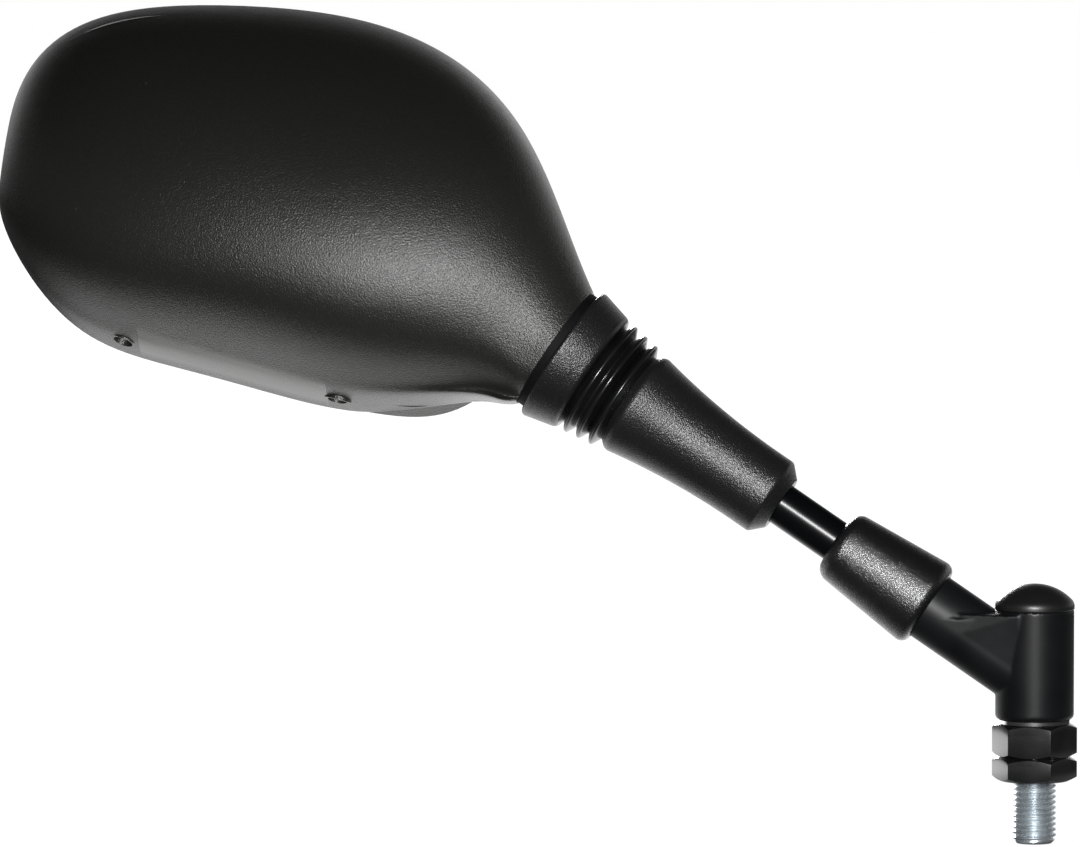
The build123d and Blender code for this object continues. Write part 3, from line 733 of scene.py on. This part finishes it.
def buildElbow():
    # the gusset's two faces stand a little proud of the barrel, and run out on the arm
    e = elbowCast
    slope = stemAxis.z / -stemAxis.x
    tip = e["webEdge"] - e["webReach"]
    outline = ((e["webEdge"], e["webTop"], e["webHalf"]), (e["webEdge"], e["webFoot"], e["armHalf"]),
               (e["webEdge"] - e["heel"], e["webFoot"] + e["heel"] * slope, e["armHalf"]),
               (tip, e["webFoot"] + e["webReach"] * slope, e["armHalf"]), (tip, e["webTop"], e["topHalf"]))
    webs = bmesh.new()
    for side in (-1, 1):
        corners = [webs.verts.new(Vector((x, side * half, z)) * mm) for x, z, half in outline]
        fan = [webs.faces.new((corners[0], first, second)) for first, second in zip(corners[1:], corners[2:])]
        grown = bmesh.ops.extrude_face_region(webs, geom=fan)
        for vert in (item for item in grown["geom"] if isinstance(item, bmesh.types.BMVert)):
            inside = e["inside"] if vert.co.x > e["barOutside"] * mm else 0.0
            vert.co.y = side * inside * mm
    # a bar between them closes the top
    barMiddle = Vector(((tip + e["barOutside"]) / 2, 0, e["webTop"] - e["barDepth"] / 2)) * mm
    barSize = Matrix.Diagonal((e["barOutside"] - tip, 2 * e["topHalf"], e["barDepth"], 1.0))
    bmesh.ops.create_cube(webs, size=mm, matrix=Matrix.Translation(barMiddle) @ barSize)
    bmesh.ops.recalc_face_normals(webs, faces=webs.faces[:])
    webMesh = bpy.data.meshes.new("webs")
    webs.to_mesh(webMesh)
    webs.free()
    bm = mergedNode("elbow")
    bm.from_mesh(webMesh)
    bpy.data.meshes.remove(webMesh)
    piece = meshObject("elbow_casting", bm, castPaint)
    remesh = piece.modifiers.new("cast", "REMESH")
    remesh.mode = "VOXEL"
    remesh.voxel_size = e["voxel"]
    remesh.use_smooth_shade = True
    smooth = piece.modifiers.new("fillets", "SMOOTH")
    smooth.factor = e["share"]
    smooth.iterations = e["rounds"]
    applyModifiers(piece)
    piece.data.shade_smooth()
    stand(piece, "arm", "elbow")
    print("elbow ready:", len(piece.data.polygons), "faces")


buildElbow()


# Domed cap

cap = {"radius": 9.1, "rim": 1.6, "dome": 4.3, "plug": 6.9, "plugLength": 2.6, "wall": 2.0, "rimRound": 0.35,
       "shoulder": 2.2, "shoulderSteps": 8, "domeSteps": 12, "steps": 96}


def buildCap():
    c = cap
    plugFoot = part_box("dome_cap")[0].z / mm
    foot = plugFoot + c["plugLength"]
    plugInside = c["plug"] - c["wall"]
    sphere = (c["radius"] ** 2 + c["dome"] ** 2) / (2 * c["dome"])
    centre = foot + c["rim"] + c["dome"] - sphere
    # a rounded shoulder runs from the upright rim into the dome
    shoulderRadius = c["radius"] - c["shoulder"]
    shoulderPlace = centre + math.sqrt((sphere - c["shoulder"]) ** 2 - shoulderRadius ** 2)
    meet = math.atan2(shoulderPlace - centre, shoulderRadius)
    corners = [(plugInside, plugFoot), (c["plug"], plugFoot), (c["plug"], foot),
               (c["radius"], foot, c["rimRound"])]
    for step in range(c["shoulderSteps"] + 1):
        turn = meet * step / c["shoulderSteps"]
        corners.append((shoulderRadius + c["shoulder"] * math.cos(turn),
                        shoulderPlace + c["shoulder"] * math.sin(turn)))
    for step in range(1, c["domeSteps"]):
        turn = meet + (math.pi / 2 - meet) * step / c["domeSteps"]
        corners.append((sphere * math.cos(turn), centre + sphere * math.sin(turn)))
    corners += [(0, centre + sphere), (0, foot + c["rim"]), (plugInside, foot + c["rim"])]
    piece = turnedPiece("cap_dome", corners, capPlastic, Matrix(), c["steps"])
    stand(piece, "arm", "dome_cap")


buildCap()
print("cap ready")


# Head: housing, glass, what lies behind it, and the two screws

wear(shellPlastic, "housing")
wear(silveredGlass, "mirror_glass")
wear(carrierPlastic, "glass_carrier", "foam_pad")
# the socket ring, seen in the groove under the collar, wears painted shade and is nearly black
wear(grooveShadePlastic, "socket_ring")
wear(seatNylon, "front_ball_cup", "rear_ball_cup")

crossRecess = {"reach": 1.25, "width": 0.36, "depth": 0.8}


def buildScrews():
    c = crossRecess
    piece = meshObject("recessed_screws", mergedNode("carrier_screws"), screwBlack)
    points = [vert.co.copy() for vert in piece.data.vertices]
    middle = sum(points, Vector()) / len(points)
    cross = bmesh.new()
    for side in (-1, 1):
        screw = [point for point in points if (point - middle).dot(headRight) * side > 0]
        centre = sum(screw, Vector()) / len(screw)
        tip = max(screw, key=lambda point: (point - centre).length)
        inward = (tip - centre).normalized()
        top = centre + inward * min((point - centre).dot(inward) for point in screw)
        place = Matrix.Translation(top) @ inward.to_track_quat("Z", "Y").to_matrix().to_4x4()
        for long, short in ((c["reach"], c["width"]), (c["width"], c["reach"])):
            size = Matrix.Diagonal((2 * long, 2 * short, 2 * c["depth"], 1.0))
            bmesh.ops.create_cube(cross, size=mm, matrix=place @ size)
    cutter = meshObject("crossCutter", cross, screwBlack)
    recess = piece.modifiers.new("recess", "BOOLEAN")
    recess.operation = "DIFFERENCE"
    recess.object = cutter
    recess.solver = "EXACT"
    recess.use_self = True
    applyModifiers(piece)
    bpy.data.objects.remove(cutter)
    stand(piece, "head", "carrier_screws")


buildScrews()
print("head ready")


# Studio: camera at the photo's angle, pale floor, soft light

def wayTo(azimuth, elevation):
    turn = math.radians(azimuth)
    lift = math.radians(elevation)
    return Vector((math.sin(turn) * math.cos(lift), -math.cos(turn) * math.cos(lift), math.sin(lift)))


photoCamera = {"azimuth": 10.0, "elevation": 5.0, "distance": 3.0, "right": -0.11295, "up": 0.08147,
               "lens": 437.6, "sensor": 36.0, "farthest": 100.0}


def buildCamera():
    p = photoCamera
    toCamera = wayTo(p["azimuth"], p["elevation"])
    right = Vector((0, 0, 1)).cross(toCamera).normalized()
    up = toCamera.cross(right)
    cameraData = bpy.data.cameras.new("photoCamera")
    cameraData.lens = p["lens"]
    cameraData.sensor_width = p["sensor"]
    cameraData.clip_end = p["farthest"]
    camera = bpy.data.objects.new("photoCamera", cameraData)
    aim = right * p["right"] + up * p["up"]
    camera.matrix_world = placeFrom(aim + toCamera * p["distance"], right, up, toCamera)
    bpy.context.scene.collection.objects.link(camera)
    bpy.context.scene.camera = camera


def seenOrLit(tree, lit, seen):
    # one strength for what the camera sees, another for what lights the object and shows in its gloss
    return mixNode(tree, "FLOAT", addNode(tree, "ShaderNodeLightPath").outputs["Is Camera Ray"], lit, seen)


paleFloor = {"size": 40.0, "gap": 0.0002, "shade": (0.03, 0.03, 0.03, 1.0), "roughness": 0.9, "specular": 0.1,
             "seen": 0.98, "front": 0.01, "back": 1.65, "depth": (-0.01, 0.09), "left": (-0.42, -0.27),
             "right": (0.12, 0.02)}


def buildFloor():
    # the object sees a bright patch behind it, and a dark floor elsewhere
    f = paleFloor
    bm = bmesh.new()
    bmesh.ops.create_grid(bm, x_segments=2, y_segments=2, size=f["size"])
    bmesh.ops.translate(bm, verts=bm.verts[:], vec=(0, 0, cadBox[0][2] - f["gap"]))
    material, tree, shader, coords = newMaterial("paleFloor")
    shader.inputs["Base Color"].default_value = f["shade"]
    shader.inputs["Roughness"].default_value = f["roughness"]
    shader.inputs["Specular IOR Level"].default_value = f["specular"]
    shader.inputs["Emission Color"].default_value = (1.0, 1.0, 1.0, 1.0)
    split = addNode(tree, "ShaderNodeSeparateXYZ")
    tree.links.new(coords, split.inputs["Vector"])
    patch = rangeNode(tree, split.outputs["Y"], *f["depth"])
    for limits in (f["left"], f["right"]):
        patch = mathNode(tree, "MULTIPLY", patch, rangeNode(tree, split.outputs["X"], *limits))
    lit = mathNode(tree, "MULTIPLY_ADD", patch, f["back"], f["front"])
    tree.links.new(seenOrLit(tree, lit, f["seen"]), shader.inputs["Emission Strength"])
    meshObject("floor", bm, material)


objectMiddle = Vector((-0.11, 0.0, 0.09))
nutFoot = Vector((0.0, 0.0, 0.0))
headMiddle = headPlace @ Vector((-0.05, 0.0, 0.035))
keyBox = {"name": "keyBox", "azimuth": 10.0, "elevation": 13.0, "distance": 2.2, "size": (0.55, 0.32),
          "power": 80.0, "target": objectMiddle}
headBox = {"name": "headBox", "azimuth": 22.0, "elevation": -4.0, "distance": 1.0, "size": (0.425, 0.50),
           "power": 19.5, "target": headMiddle}
edgeBox = {"name": "edgeBox", "azimuth": 68.0, "elevation": 3.0, "distance": 1.0, "size": (0.10, 0.25),
           "power": 2.6, "target": nutFoot}
backBox = {"name": "backBox", "azimuth": 198.0, "elevation": 10.0, "distance": 2.2, "size": (0.55, 0.32),
           "power": 18.0, "target": objectMiddle}


def softbox(box, state, *pieces):
    lightData = bpy.data.lights.new(box["name"], "AREA")
    lightData.shape = "RECTANGLE"
    lightData.size, lightData.size_y = box["size"]
    lightData.energy = box["power"]
    light = bpy.data.objects.new(box["name"], lightData)
    # the long side lies along the stem
    way = wayTo(box["azimuth"], box["elevation"])
    long = (stemAxis - way * stemAxis.dot(way)).normalized()
    light.matrix_world = placeFrom(box["target"] + way * box["distance"], long, way.cross(long), way)
    light.visible_camera = False
    bpy.context.scene.collection.objects.link(light)
    # it lights only these pieces, or all but these
    receivers = bpy.data.collections.new(box["name"] + "Receivers")
    light.light_linking.receiver_collection = receivers
    for place, piece in enumerate(pieces):
        receivers.objects.link(piece)
        receivers.collection_objects[place].light_linking.link_state = state
    return light


def buildLights():
    # a long box for the arm and the boot, a low one for the head's back, a strip for the nuts and one behind
    softbox(keyBox, "EXCLUDE", nodes["housing"])
    headLight = softbox(headBox, "INCLUDE", nodes["housing"])
    # it reaches below the floor, which casts no shadow for it
    headLight.light_linking.blocker_collection = headLight.light_linking.receiver_collection
    softbox(edgeBox, "INCLUDE", *nuts)
    softbox(backBox, "EXCLUDE", nodes["mirror_glass"], nodes["housing"])


studioSky = {"dark": 0.4, "bright": 0.85, "front": 0.13, "back": 1.0, "low": 0.12, "high": 0.5, "top": 0.05,
             "seen": 1.0}


def buildSky():
    # white behind the object, dark in front of it and overhead
    k = studioSky
    world = bpy.data.worlds.new("studioWorld")
    world.use_nodes = True
    bpy.context.scene.world = world
    tree = world.node_tree
    background = tree.nodes["Background"]
    background.inputs["Color"].default_value = (1.0, 1.0, 1.0, 1.0)
    split = addNode(tree, "ShaderNodeSeparateXYZ")
    tree.links.new(addNode(tree, "ShaderNodeTexCoord").outputs["Generated"], split.inputs["Vector"])
    behind = rangeNode(tree, split.outputs["Y"], k["dark"], k["bright"], k["front"], k["back"])
    overhead = rangeNode(tree, split.outputs["Z"], k["low"], k["high"], 1.0, k["top"])
    lit = mathNode(tree, "MULTIPLY", behind, overhead)
    tree.links.new(seenOrLit(tree, lit, k["seen"]), background.inputs["Strength"])


buildCamera()
buildFloor()
buildLights()
buildSky()
bpy.context.scene.view_settings.view_transform = "Standard"
bpy.context.scene.cycles.denoising_prefilter = "NONE"  # keeps the fine grain
print("studio ready")
